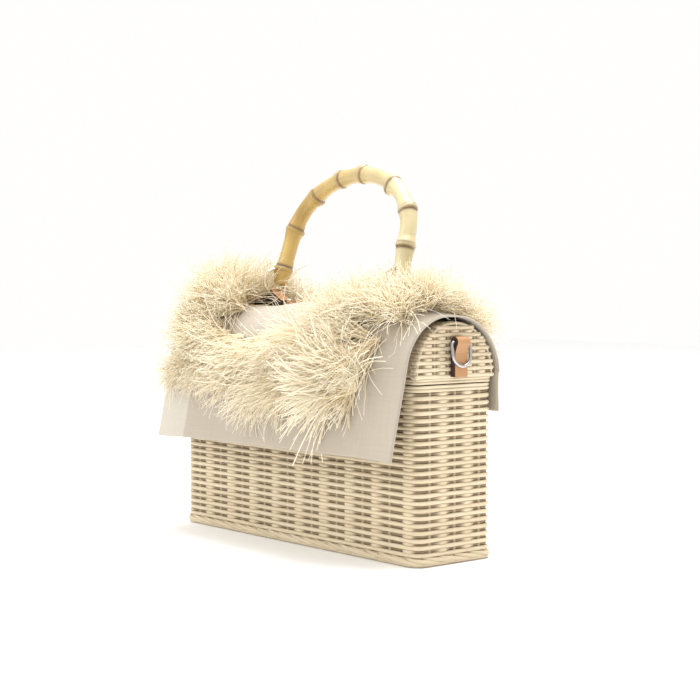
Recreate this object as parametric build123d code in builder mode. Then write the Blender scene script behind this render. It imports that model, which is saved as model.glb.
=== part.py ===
"""Basket box bag: a woven reed box with a hinged half-round lid, a linen cover with a
raffia fringe over the lid, and a bamboo-root handle on two rings.

Millimetres. +X runs along the bag to its right end, +Y to the back, +Z up. The origin is
the centre of the underside of the base, on the surface that the bag stands on.
"""

from build123d import *
from math import cos, pi, radians, sin, sqrt
import os

os.makedirs("parts", exist_ok=True)

# Box of woven reed
body_length = 265.0
body_depth = 70.0
corner_radius = 9.0
seam_height = 117.5
wall_thickness = 4.7
row_height = 2.43
recess = 2.0
stake_show = 0.9
column_width = 5.0
dive_length = 4.0
long_side_stakes = 9
long_stake_pitch = 27.4
long_stake_shift = -5.4
end_stakes = 3
end_stake_pitch = 22.2
corner_chords = 4

# Base, plaited foot border and rims
base_thickness = 3.2
base_gap = 0.1
base_groove_pitch = 6.2
base_groove_depth = 0.5
border_height = 6.2
border_proud = 1.3
border_bevel = 1.2
plait_pitch = 13.0
plait_slant = 55.0
plait_cut = 0.7
body_rim_radius = 2.3
lid_rim_radius = 1.9
seam_gap = 0.5
lid_rim_corner = 4.0

# Lid: low straight walls and a half-round crown
lid_wall_height = 6.0
lid_wall_thickness = 4.0
lid_row_height = 2.3
lid_stake_pitch = 12.0
lid_stakes = 4
lid_recess = 1.6
lid_column_width = 3.6
lid_dive_length = 2.2
ridge_depth = 0.55
arch_border_radius = 2.1
arch_border_proud = 0.9
arch_border_inset = 0.9

# Linings
lining_thickness = 1.2
lining_gap = 0.3
lining_drop = 1.4

# Hinge loops of split reed round the two rims at the back
loop_places = (-84.0, 0.0, 84.0)
loop_width = 7.0
loop_thickness = 0.8
loop_play = 0.25
notch_play = 0.5
notch_height = 4.2

# Linen cover
cover_overhang = 2.0
cover_thickness = 2.0
cover_gap = 0.4
cover_rise = 4.5
cover_flat = 8.0
front_radius = 39.0
front_slant = 12.0
hem_height = 72.0
back_edge_height = 124.0
skirt_top = 112.4
skirt_bottom = 98.0
hem_width = 3.5
hem_gap = 0.2

# Batten under the cover, on the crown of the lid
batten_half_length = 92.0
batten_width = 18.0
batten_rounding = 2.5

# Handle of bamboo root. Its feet start behind the rings' centres, and it leans back
handle_lean = 16.0
handle_back = 7.0
handle_base = 14.0
foot_half_span = 68.0
foot_start = 1.3
shoulder_half_span = 65.0
shoulder_height = 36.0
arch_rise = 48.5
bamboo_radius = 6.0
knuckle_radius = 7.1
foot_radius = 5.2
knuckle_gaps = (12.2, 31.0, 32.0, 28.0, 24.0, 36.0, 31.0, 22.0, 21.0)

# Two rings, the leather tabs that hold them up, and the tabs' rivets
ring_half_span = 67.5
ring_back = 3.0
ring_radius = 9.5
ring_wire = 1.25
ring_hole_play = 0.25
ring_gap = 0.25
wire_lift = 8.2
leather = 2.0
tab_half_length = 20.0
tab_slope_start = 13.0
tab_width = 9.0
rivet_offset = 16.5
rivet_radius = 1.2
rivet_head_radius = 2.6
rivet_head_height = 1.1
rivet_play = 0.15
washer_height = 0.8

# End tabs with hanging D-rings
end_tab_width = 11.0
end_tab_bottom = 122.5
end_leather = 2.2
bar_height = 145.3
bar_play = 0.25
dring_wire = 1.1
dring_half_width = 7.9
dring_drop = 16.0
dring_corner = 2.5
dring_rest_gap = 0.3

# Raffia fringe: header tapes and tufts
tape_gap = 0.3
tape_thickness = 1.2
tape_width = 6.0
tuft_root = 3.2
tuft_depth = 2.4
tuft_taper = -2.2
tuft_sink = 0.6
tuft_pitch = 5.6

half_length = body_length / 2
half_depth = body_depth / 2
hinge_y = half_depth - lid_rim_radius - 0.5
lid_rim_height = seam_height + seam_gap + lid_rim_radius
wall_top = seam_height - 2 * body_rim_radius
lid_bottom = lid_rim_height + lid_rim_radius
spring_height = seam_height + seam_gap + lid_wall_height
crown_height = spring_height + half_depth
cover_half_length = half_length + cover_overhang
cover_inner = half_depth + arch_border_proud + cover_gap
cover_outer = cover_inner + cover_thickness
cover_crown = spring_height + cover_outer + cover_rise
front_centre = spring_height + cover_outer - front_radius
batten_top = cover_crown - cover_thickness - 1.0
rivet_top = cover_crown + 2 * leather
wire_height = cover_crown + wire_lift
ring_height = wire_height + ring_radius
rivet_places = [
    side * ring_half_span + offset
    for side in (-1, 1)
    for offset in (-rivet_offset, rivet_offset)
]
tuft_height = tape_gap + tape_thickness - tuft_sink + tuft_depth / 2


def finish(piece, name):
    """Label a finished piece and write it as its own file."""
    piece.part.label = name
    export_step(piece.part, f"parts/{name}.step")


# Woven walls: every second row runs outside the stakes, and the rows between them dive
# behind each stake and come out again at the column halfway to the next one


def stakes_along(count, pitch, shift=0.0):
    """Places of the stakes along one side, from its middle."""
    return [shift + (i - (count - 1) / 2) * pitch for i in range(count)]


def diving_row(stakes, pitch, reach, column, dive, depth, show):
    """One side of a row that dives behind its stakes, as (place, depth) from -reach to
    reach. In the middle of each dive the stake shows, nearer than the row behind it."""
    points = [(-reach, 0.0)]
    for stake in stakes:
        start = max(stake - pitch / 2 + column / 2, -reach)
        end = min(stake + pitch / 2 - column / 2, reach)
        points += [(start, 0.0)] if start > -reach else []
        points += [(start + dive, depth), (stake, depth - show), (end - dive, depth)]
        points += [(end, 0.0)] if end < reach else []
    points.append((reach, 0.0))
    return points


def inner_outline():
    """Outline of a diving row right round the box."""
    straight_x = half_length - corner_radius
    straight_y = half_depth - corner_radius
    weave = (column_width, dive_length, recess, stake_show)
    long_stakes = stakes_along(long_side_stakes, long_stake_pitch, long_stake_shift)
    front = diving_row(long_stakes, long_stake_pitch, straight_x, *weave)
    short_stakes = stakes_along(end_stakes, end_stake_pitch)
    end = diving_row(short_stakes, end_stake_pitch, straight_y, *weave)
    sides = (
        [(x, depth - half_depth) for x, depth in front],
        [(half_length - depth, y) for y, depth in end],
        [(x, half_depth - depth) for x, depth in reversed(front)],
        [(depth - half_length, y) for y, depth in reversed(end)],
    )
    corners = ((1, -1, -90), (1, 1, 0), (-1, 1, 90), (-1, -1, 180))
    outline = []
    for side, (sx, sy, first_angle) in zip(sides, corners):
        outline += side
        for step in range(1, corner_chords):
            angle = radians(first_angle + 90 * step / corner_chords)
            x = sx * straight_x + corner_radius * cos(angle)
            y = sy * straight_y + corner_radius * sin(angle)
            outline.append((x, y))
    return outline


def rounded_box(inset):
    """Length, depth and corner radius of the body's outline, moved inwards."""
    return body_length - 2 * inset, body_depth - 2 * inset, corner_radius - inset


row_count = round((wall_top - border_height) / row_height)
row_step = (wall_top - border_height) / row_count

with BuildPart() as basket_body:
    row_floors = [border_height + row * row_step for row in range(row_count)]
    with BuildSketch(*[Plane.XY.offset(z) for z in row_floors[0::2]]):
        RectangleRounded(*rounded_box(0))
    extrude(amount=row_step)
    with BuildSketch(*[Plane.XY.offset(z) for z in row_floors[1::2]]):
        with BuildLine():
            Polyline(*inner_outline(), close=True)
        make_face()
    extrude(amount=row_step)
    with BuildSketch(Plane.XY.offset(border_height)):
        RectangleRounded(*rounded_box(wall_thickness))
    extrude(amount=wall_top - border_height, mode=Mode.SUBTRACT)
    for place in loop_places:
        with Locations((place, half_depth, wall_top)):
            Box(
                loop_width + 2 * notch_play,
                2 * wall_thickness + 1,
                2 * (loop_thickness + loop_play + notch_play),
                mode=Mode.SUBTRACT,
            )
finish(basket_body, "basket_body")

# Flat woven base: reeds side by side, shown by grooves along its underside

with BuildPart() as basket_base:
    with BuildSketch():
        RectangleRounded(*rounded_box(wall_thickness + base_gap))
    extrude(amount=base_thickness)
    groove_count = int((body_depth - 2 * corner_radius) / base_groove_pitch)
    with BuildSketch():
        with GridLocations(0, base_groove_pitch, 1, groove_count):
            Rectangle(body_length - 4 * corner_radius, 0.8)
    extrude(amount=base_groove_depth, mode=Mode.SUBTRACT)
finish(basket_base, "basket_base")

# Plaited border round the foot, with the slanting strokes of its plait

with BuildPart() as foot_border:
    with BuildSketch():
        RectangleRounded(*rounded_box(-border_proud))
        RectangleRounded(*rounded_box(wall_thickness), mode=Mode.SUBTRACT)
    extrude(amount=border_height)
    outside = foot_border.faces().filter_by(Axis.Z).sort_by(Axis.Z)
    chamfer(outside[-1].outer_wire().edges(), border_bevel)
    for side, plane_y in ((1, half_depth + border_proud), (-1, -half_depth - border_proud)):
        strokes = Plane((0, plane_y, border_height / 2), x_dir=(side, 0, 0), z_dir=(0, side, 0))
        with BuildSketch(strokes):
            with GridLocations(plait_pitch, 0, int((body_length - 40) / plait_pitch), 1):
                Rectangle(0.8, border_height * 1.1, rotation=plait_slant - 90)
        extrude(amount=-plait_cut, mode=Mode.SUBTRACT)
finish(foot_border, "foot_border")


def rim(name, reach_x, reach_y, corner, height, radius, sides=0):
    """A thick reed laid round the mouth as a closed ring; sides 0 makes it round."""
    with BuildPart() as ring:
        with BuildLine(Plane.XY.offset(height)) as half_path:
            Line((0, -reach_y), (reach_x - corner, -reach_y))
            CenterArc((reach_x - corner, corner - reach_y), corner, -90, 90)
            Line((reach_x, corner - reach_y), (reach_x, reach_y - corner))
            CenterArc((reach_x - corner, reach_y - corner), corner, 0, 90)
            Line((reach_x - corner, reach_y), (0, reach_y))
        with BuildSketch(Plane((0, -reach_y, height), x_dir=(0, 1, 0), z_dir=(1, 0, 0))):
            if sides:
                RegularPolygon(radius, sides, major_radius=False, rotation=180 / sides)
            else:
                Circle(radius)
        sweep(path=half_path.wire())
        mirror(about=Plane.YZ)
    finish(ring, name)


body_rim_corner = corner_radius - body_rim_radius
rim(
    "body_rim",
    half_length - body_rim_radius,
    half_depth - body_rim_radius,
    body_rim_corner,
    seam_height - body_rim_radius,
    body_rim_radius,
    sides=8,
)

# Lid rim: it is round, because its back side is the rod that the lid turns on

rim(
    "lid_rim",
    half_length - (half_depth - hinge_y),
    hinge_y,
    lid_rim_corner,
    lid_rim_height,
    lid_rim_radius,
)

# Half-round lid, ridged along its crown, with two woven end panels


def arch_outline(radius, bottom):
    """Upright half-round outline, as a flat face to add to a sketch."""
    with BuildSketch() as arch:
        with BuildLine():
            Line((-radius, bottom), (radius, bottom))
            Line((radius, bottom), (radius, spring_height))
            CenterArc((0, spring_height), radius, 0, 180)
            Line((-radius, spring_height), (-radius, bottom))
        make_face()
    return arch.sketch


def ridged_outline():
    """The crown's outline with one ridge for each reed that runs along the lid."""
    rows = round(pi * half_depth / lid_row_height)
    points = [(half_depth, lid_bottom)]
    for row in range(rows):
        for share, depth in ((0.0, ridge_depth), (0.5, 0.0)):
            angle = pi * (row + share) / rows
            reach = half_depth - depth
            points.append((reach * cos(angle), spring_height + reach * sin(angle)))
    points += [(-half_depth + ridge_depth, spring_height), (-half_depth, lid_bottom)]
    return points


def end_rows():
    """Rows of one lid end, lowest first: each is its floor height and its outline."""
    rows = int((crown_height - lid_bottom) / lid_row_height)
    stakes = stakes_along(lid_stakes, lid_stake_pitch)
    weave = (lid_column_width, lid_dive_length, lid_recess, stake_show)
    back_x = half_length - lid_wall_thickness
    straight = [(-half_depth, 0.0), (half_depth, 0.0)]
    diving = diving_row(stakes, lid_stake_pitch, half_depth, *weave)
    for row in range(rows):
        points = [(half_length - depth, y) for y, depth in (diving if row % 2 else straight)]
        yield (
            lid_bottom + row * lid_row_height,
            [(back_x, -half_depth), *points, (back_x, half_depth)],
        )


with BuildPart() as lid_shell:
    with BuildSketch(Plane.YZ.offset(-half_length + lid_wall_thickness)):
        with BuildLine():
            Polyline(*ridged_outline(), close=True)
        make_face()
    extrude(amount=body_length - 2 * lid_wall_thickness)
    for floor_height, points in end_rows():
        with BuildSketch(Plane.XY.offset(floor_height)):
            with BuildLine():
                Polyline(*points, close=True)
            make_face()
            mirror(about=Plane.YZ)
        extrude(amount=lid_row_height)
    with BuildSketch(Plane.YZ.offset(-half_length)):
        add(arch_outline(half_depth - 0.3, lid_bottom))
    extrude(amount=body_length, mode=Mode.INTERSECT)
    with BuildSketch(Plane.YZ.offset(-half_length + lid_wall_thickness)):
        add(arch_outline(half_depth - lid_wall_thickness, lid_bottom - 1))
    extrude(amount=body_length - 2 * lid_wall_thickness, mode=Mode.SUBTRACT)
    for place in loop_places:
        with Locations((place, hinge_y, lid_rim_height)):
            Box(
                loop_width + 2 * notch_play,
                3 * wall_thickness,
                2 * notch_height,
                mode=Mode.SUBTRACT,
            )
    with Locations(*[(x, ring_back, crown_height) for x in rivet_places]):
        Cylinder(rivet_radius + rivet_play, 3 * wall_thickness, mode=Mode.SUBTRACT)
finish(lid_shell, "lid_shell")

# Thick reed along the arch of each lid end

for side, name in ((-1, "lid_end_border_left"), (1, "lid_end_border_right")):
    border_x = side * (half_length - arch_border_inset)
    border_reach = half_depth + arch_border_proud - arch_border_radius
    with BuildPart() as arch_border:
        with BuildLine(Plane.YZ.offset(border_x)) as arch_path:
            Line((border_reach, lid_bottom), (border_reach, spring_height))
            CenterArc((0, spring_height), border_reach, 0, 180)
            Line((-border_reach, spring_height), (-border_reach, lid_bottom))
        with BuildSketch(Plane((border_x, border_reach, lid_bottom), z_dir=(0, 0, 1))):
            RegularPolygon(arch_border_radius, 8, major_radius=False, rotation=22.5)
        sweep(path=arch_path.wire())
        with BuildSketch(Plane.YZ.offset(-half_length)):
            add(arch_outline(half_depth, lid_bottom - 1))
        extrude(amount=body_length, mode=Mode.SUBTRACT)
    finish(arch_border, name)

# Fabric linings

body_lining_outer = wall_thickness + lining_gap

with BuildPart() as body_lining:
    with BuildSketch(Plane.XY.offset(base_thickness + lining_gap)):
        RectangleRounded(*rounded_box(body_lining_outer))
    extrude(amount=wall_top - lining_drop - base_thickness - lining_gap)
    with BuildSketch(Plane.XY.offset(base_thickness + lining_gap + lining_thickness)):
        RectangleRounded(*rounded_box(body_lining_outer + lining_thickness))
    extrude(amount=seam_height, mode=Mode.SUBTRACT)
finish(body_lining, "body_lining")

lid_lining_radius = half_depth - lid_wall_thickness - lining_gap
lid_lining_reach = half_length - lid_wall_thickness - lining_gap

with BuildPart() as lid_lining:
    with BuildSketch(Plane.YZ.offset(-lid_lining_reach)):
        add(arch_outline(lid_lining_radius, lid_bottom + lining_drop))
    extrude(amount=2 * lid_lining_reach)
    with BuildSketch(Plane.YZ.offset(-lid_lining_reach + lining_thickness)):
        add(arch_outline(lid_lining_radius - lining_thickness, lid_bottom))
    extrude(amount=2 * (lid_lining_reach - lining_thickness), mode=Mode.SUBTRACT)
    with Locations(*[(x, ring_back, crown_height) for x in rivet_places]):
        Cylinder(rivet_radius + rivet_play, 4 * wall_thickness, mode=Mode.SUBTRACT)
finish(lid_lining, "lid_lining")

# Hinge loops: split reed wound round the body's rim and the lid's back rod

with BuildPart() as hinge_loops:
    low = seam_height - body_rim_radius
    slot_radius = body_rim_radius + loop_play
    slot_top = lid_rim_height + lid_rim_radius + loop_play - slot_radius
    slot_length = slot_top - low + 2 * slot_radius
    loop_middle = (slot_top + low) / 2
    loop_y = half_depth - body_rim_radius
    for place in loop_places:
        loop_plane = Plane.YZ.offset(place - loop_width / 2)
        with BuildSketch(loop_plane):
            with Locations((loop_y, loop_middle)):
                SlotOverall(slot_length + 2 * loop_thickness, 2 * (slot_radius + loop_thickness), 90)
                SlotOverall(slot_length, 2 * slot_radius, 90, mode=Mode.SUBTRACT)
        extrude(amount=loop_width)
finish(hinge_loops, "hinge_loops")

# Linen cover: close over the back, standing off the front like a stiff skirt


def cover_surface(angle, rise, offset=0.0):
    """A point (y, z) of the cover's outer face, or off it: angle 0 is the crown's front
    edge, positive towards the front, and below 0 over the back."""
    turn = radians(abs(angle))
    if angle >= 0:
        reach = front_radius + offset
        return -cover_flat - reach * sin(turn), front_centre + (reach + rise) * cos(turn)
    reach = cover_outer + offset
    return reach * sin(turn), spring_height + (reach + rise) * cos(turn)


def rise_at(x):
    """How far the crown is lifted by the batten at x: nothing at the ends."""
    ramp = cover_half_length - batten_half_length - 2
    return cover_rise * min(1.0, (cover_half_length - abs(x)) / ramp)


cover_stations = (
    -cover_half_length,
    -batten_half_length - 2,
    batten_half_length + 2,
    cover_half_length,
)
hem_y = -cover_flat - front_radius * cos(radians(front_slant))
hem_y -= (front_centre + front_radius * sin(radians(front_slant)) - hem_height) * sin(
    radians(front_slant)
) / cos(radians(front_slant))

with BuildPart() as cover:
    for x in cover_stations:
        rise = rise_at(x)
        with BuildSketch(Plane.YZ.offset(x)):
            with BuildLine():
                inner_front = front_radius - cover_thickness
                shoulder = (
                    -cover_flat - front_radius * cos(radians(front_slant)),
                    front_centre + (front_radius + rise) * sin(radians(front_slant)),
                )
                inner_shoulder = (
                    -cover_flat - inner_front * cos(radians(front_slant)),
                    front_centre + (inner_front + rise) * sin(radians(front_slant)),
                )
                outer_crown = spring_height + cover_outer + rise
                inner_crown = outer_crown - cover_thickness
                EllipticalCenterArc((0, spring_height), cover_outer, cover_outer + rise, arc_size=90)
                Line((0, outer_crown), (-cover_flat, outer_crown))
                EllipticalCenterArc(
                    (-cover_flat, front_centre),
                    front_radius,
                    front_radius + rise,
                    start_angle=90,
                    arc_size=90 - front_slant,
                )
                Line(shoulder, (hem_y, hem_height))
                Line((hem_y, hem_height), (hem_y + cover_thickness, hem_height))
                Line((hem_y + cover_thickness, hem_height), inner_shoulder)
                EllipticalCenterArc(
                    (-cover_flat, front_centre),
                    inner_front,
                    inner_front + rise,
                    start_angle=90,
                    arc_size=90 - front_slant,
                )
                Line((-cover_flat, inner_crown), (0, inner_crown))
                EllipticalCenterArc((0, spring_height), cover_inner, cover_inner + rise, arc_size=90)
                Line((cover_inner, spring_height), (cover_outer, spring_height))
            make_face()
    loft(ruled=True)
    with Locations(*[(x, ring_back, cover_crown) for x in rivet_places]):
        Cylinder(rivet_radius + rivet_play, 4 * cover_thickness, mode=Mode.SUBTRACT)
finish(cover, "cover")

# The cover goes on below the hinge as a narrow skirt, sewn to the wall along its hem

with BuildPart() as cover_back_skirt:
    with BuildSketch(Plane.XY.offset(skirt_bottom)):
        with Locations((0, (cover_inner + cover_outer) / 2)):
            Rectangle(2 * cover_half_length, cover_thickness)
    extrude(amount=skirt_top - skirt_bottom)
    with BuildSketch(Plane.XY.offset(skirt_bottom)):
        with Locations((0, (half_depth + hem_gap + cover_outer) / 2)):
            Rectangle(2 * half_length - 2 * corner_radius, cover_outer - half_depth - hem_gap)
    extrude(amount=hem_width)
finish(cover_back_skirt, "cover_back_skirt")

# Batten on the crown, which spreads the handle's pull along the lid

with BuildPart() as crown_batten:
    with BuildSketch(Plane.XY.offset(crown_height - lid_wall_thickness)):
        SlotOverall(2 * batten_half_length, batten_width)
    extrude(amount=batten_top - crown_height + lid_wall_thickness)
    top_edges = crown_batten.faces().sort_by(Axis.Z)[-1].edges()
    fillet(top_edges, batten_rounding)
    with BuildSketch(Plane.YZ.offset(-half_length)):
        add(arch_outline(half_depth - 0.3, lid_bottom))
    extrude(amount=body_length, mode=Mode.SUBTRACT)
    with Locations(*[(x, ring_back, crown_height) for x in rivet_places]):
        Cylinder(rivet_radius + rivet_play, 6 * wall_thickness, mode=Mode.SUBTRACT)
finish(crown_batten, "crown_batten")

# Handle of bamboo root: straight feet, an arch, and a knuckle at each joint of the root

lean = radians(handle_lean)
handle_plane = Plane(
    origin=(0, handle_back, cover_crown + handle_base),
    x_dir=(1, 0, 0),
    z_dir=(0, -cos(lean), sin(lean)),
)

with BuildLine(handle_plane) as handle_line:
    Line((-foot_half_span, foot_start), (-shoulder_half_span, shoulder_height))
    EllipticalCenterArc((0, shoulder_height), shoulder_half_span, arch_rise, arc_size=180)
    Line((shoulder_half_span, shoulder_height), (foot_half_span, foot_start))
handle_wire = handle_line.wire()
handle_length = handle_wire.length
from_left = handle_wire.position_at(0).X < 0


def across_handle(distance):
    """Plane square to the handle at a distance along it from the left foot."""
    share = min(max(distance / handle_length, 0.0), 1.0)
    if not from_left:
        share = 1 - share
    direction = handle_wire.tangent_at(share)
    if not from_left:
        direction = -direction
    return Plane(origin=handle_wire.position_at(share), z_dir=direction)


def ring_place(side):
    """Where a handle ring's centre is, with the ring upright across the bag."""
    return Location((side * ring_half_span, ring_back, ring_height), (0, 90, 0))


knuckles = [sum(knuckle_gaps[: i + 1]) for i in range(len(knuckle_gaps))]
stretches = [(0.0, foot_radius, knuckles[0], knuckle_radius)]
stretches += [(a, knuckle_radius, b, knuckle_radius) for a, b in zip(knuckles, knuckles[1:])]
stretches.append((knuckles[-1], knuckle_radius, handle_length, foot_radius))

with BuildPart() as handle:
    for start, start_radius, end, end_radius in stretches:
        sections = [(start, start_radius), (end, end_radius)]
        if start_radius == end_radius:
            sections.insert(1, ((start + end) / 2, bamboo_radius))
        for distance, radius in sections:
            with BuildSketch(across_handle(distance)):
                Circle(radius)
        loft()
    for side in (-1, 1):
        with Locations(ring_place(side)):
            Torus(ring_radius, ring_wire + ring_hole_play, mode=Mode.SUBTRACT)
finish(handle, "handle")

for side, name in ((-1, "handle_ring_left"), (1, "handle_ring_right")):
    with BuildPart() as handle_ring:
        with Locations(ring_place(side)):
            Torus(ring_radius, ring_wire)
    finish(handle_ring, name)

# Leather tab over the bottom of each handle ring: a strap that rises in a hump over the
# wire, riveted down at both ends

for side, name in ((-1, "handle_tab_left"), (1, "handle_tab_right")):
    middle = side * ring_half_span
    hump_radius = ring_wire + ring_gap + leather
    with BuildPart() as handle_tab:
        with BuildSketch(Plane.XZ.offset(-ring_back - tab_width / 2)):
            with BuildLine():
                Polyline(
                    (middle - tab_half_length, cover_crown),
                    (middle + tab_half_length, cover_crown),
                    (middle + tab_half_length, rivet_top),
                    (middle + tab_slope_start, rivet_top),
                    (middle + hump_radius, wire_height + ring_wire),
                    (middle - hump_radius, wire_height + ring_wire),
                    (middle - tab_slope_start, rivet_top),
                    (middle - tab_half_length, rivet_top),
                    close=True,
                )
            make_face()
            with Locations((middle, wire_height)):
                Circle(hump_radius)
        extrude(amount=tab_width)
        with Locations(ring_place(side)):
            Torus(ring_radius, ring_wire + ring_gap, mode=Mode.SUBTRACT)
        with Locations(*[(x, ring_back, rivet_top) for x in rivet_places]):
            Cylinder(rivet_radius + rivet_play, 6 * leather, mode=Mode.SUBTRACT)
    finish(handle_tab, name)

# Rivets through tab, cover, batten and lid, each with its washer inside

inner_crown_height = crown_height - lid_wall_thickness - lining_gap - lining_thickness
rivet_bottom = inner_crown_height - 2 * washer_height

with BuildPart() as tab_rivets:
    with BuildSketch(Plane.XY.offset(rivet_bottom)):
        with Locations(*[(x, ring_back) for x in rivet_places]):
            Circle(rivet_radius)
    extrude(amount=rivet_top - rivet_bottom)
    with BuildSketch(Plane.XY.offset(rivet_top)):
        with Locations(*[(x, ring_back) for x in rivet_places]):
            Circle(rivet_head_radius)
    extrude(amount=rivet_head_height, taper=35)
    with BuildSketch(Plane.XY.offset(rivet_bottom)):
        with Locations(*[(x, ring_back) for x in rivet_places]):
            Circle(rivet_head_radius)
    extrude(amount=washer_height)
finish(tab_rivets, "tab_rivets")

# Leather tab on each end of the lid: a folded strap whose fold holds the D-ring's bar

back_leaf = half_length
bar_x = back_leaf + end_leather + bar_play + dring_wire
fold_radius = dring_wire + bar_play + end_leather
strap_front = back_leaf + 2 * end_leather
hang_x = strap_front + dring_rest_gap + dring_wire
hang_lean = hang_x - bar_x
ring_tip = sqrt(dring_drop**2 - hang_lean**2)

for side, name in ((-1, "end_tab_left"), (1, "end_tab_right")):
    with BuildPart() as end_tab:
        tab_plane = Plane((0, side * end_tab_width / 2, 0), x_dir=(side, 0, 0), z_dir=(0, -side, 0))
        with BuildSketch(tab_plane):
            with BuildLine():
                Polyline(
                    (back_leaf, end_tab_bottom),
                    (strap_front, end_tab_bottom),
                    (strap_front, bar_height - 2 * fold_radius),
                    (bar_x + fold_radius, bar_height),
                    (back_leaf, bar_height),
                    close=True,
                )
            make_face()
            with Locations((bar_x, bar_height)):
                Circle(fold_radius)
                Circle(dring_wire + bar_play, mode=Mode.SUBTRACT)
        extrude(amount=end_tab_width)
    finish(end_tab, name)

for side, name in ((-1, "end_ring_left"), (1, "end_ring_right")):
    with BuildPart() as end_ring:
        ring_plane = Plane(
            origin=(side * bar_x, 0, bar_height),
            x_dir=(0, side, 0),
            z_dir=(side * ring_tip, 0, hang_lean),
        )
        bow = dring_half_width
        with BuildLine(ring_plane) as dring_path:
            FilletPolyline(
                (0, 0), (-bow, 0), (-bow, -dring_drop + bow), radius=dring_corner
            )
            CenterArc((0, -dring_drop + bow), bow, 180, 180)
            FilletPolyline((bow, -dring_drop + bow), (bow, 0), (0, 0), radius=dring_corner)
        with BuildSketch(Plane(origin=(side * bar_x, 0, bar_height), z_dir=(0, 1, 0))):
            Circle(dring_wire)
        sweep(path=dring_path.wire())
    finish(end_ring, name)

# Raffia fringe: each row is a header tape sewn to the cover, and its tufts


def tape_section(angle, rise):
    """Corners of a tape's section, across the cover at an angle round it."""
    half_turn = tape_width / 2 / front_radius * 180 / pi
    return [
        cover_surface(angle - half_turn, rise, tape_gap),
        cover_surface(angle + half_turn, rise, tape_gap),
        cover_surface(angle + half_turn, rise, tape_gap + tape_thickness),
        cover_surface(angle - half_turn, rise, tape_gap + tape_thickness),
    ]


def tuft(root, direction, across, length):
    """One lock of raffia: narrow where it is sewn, wider at its free end."""
    with BuildPart() as lock:
        with BuildSketch(Plane(origin=root, x_dir=across, z_dir=direction)):
            Rectangle(tuft_root, tuft_depth)
        extrude(amount=length, taper=tuft_taper)
    return lock.part


def long_row(name, first, last, angle, drop, length):
    """A row of tufts along the bag. drop turns the tufts down from level, outwards."""
    outwards = -1 if angle >= 0 else 1
    stations = [first] + [x for x in cover_stations if first < x < last] + [last]
    with BuildPart() as row:
        for x in stations:
            with BuildSketch(Plane.YZ.offset(x)):
                with BuildLine():
                    Polyline(*tape_section(angle, rise_at(x)), close=True)
                make_face()
        loft(ruled=True)
        count = int((last - first) / tuft_pitch)
        tufts = []
        for i in range(count):
            x = first + (i + 0.5) * (last - first) / count
            fan = radians(9 * sin(2.3 * i))
            turn = radians(drop + 7 * sin(1.7 * i))
            y, z = cover_surface(angle, rise_at(x), tuft_height)
            direction = (sin(fan), outwards * cos(turn) * cos(fan), -sin(turn) * cos(fan))
            reach = length * (1 + 0.1 * sin(3.1 * i + 1))
            across = (cos(fan), -outwards * sin(fan), 0)
            tufts.append(tuft((x, y, z), direction, across, reach))
        add(tufts)
    finish(row, name)


def end_row(name, middle, first_angle, last_angle, side, length, count):
    """A row of tufts over the crown near one end, standing up and outwards."""
    angles = [first_angle + (last_angle - first_angle) * i / 8 for i in range(9)]
    with BuildPart() as row:
        for x in (middle - tape_width / 2, middle + tape_width / 2):
            rise = rise_at(x)
            inside = [cover_surface(a, rise, tape_gap) for a in angles]
            outside = [cover_surface(a, rise, tape_gap + tape_thickness) for a in angles]
            with BuildSketch(Plane.YZ.offset(x)):
                with BuildLine():
                    Polyline(*inside, *reversed(outside), close=True)
                make_face()
        loft(ruled=True)
        tufts = []
        for i in range(count):
            angle = first_angle + (last_angle - first_angle) * (i + 0.5) / count
            y, z = cover_surface(angle, rise_at(middle), tuft_height)
            out = radians(angle)
            stand = radians(38 + 9 * sin(2.9 * i))
            level = cos(stand)
            direction = (
                side * sin(stand),
                -sin(out) * level,
                cos(out) * level,
            )
            reach = length * (1 + 0.1 * sin(3.1 * i + 1))
            tufts.append(tuft((middle, y, z), direction, (0, cos(out), sin(out)), reach))
        add(tufts)
    finish(row, name)


long_row("fringe_front_upper", -118.0, 96.0, 45.0, 42.0, 40.0)
long_row("fringe_front_lower", -126.0, 84.0, 76.0, 62.0, 38.0)
long_row("fringe_back", -96.0, 100.0, -42.0, -52.0, 25.0)
end_row("fringe_left", -104.0, -46.0, 34.0, -1, 34.0, 11)
end_row("fringe_right", 108.0, -46.0, 34.0, 1, 28.0, 11)
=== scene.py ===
"""Looks of the basket box bag: woven reed, a linen cover, raffia fringe and a bamboo handle.

Everything is in metres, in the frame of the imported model: +X to the bag's right end, +Y to
its back, +Z up, with the origin under the middle of the base.
"""

import math
from dataclasses import dataclass

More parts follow.
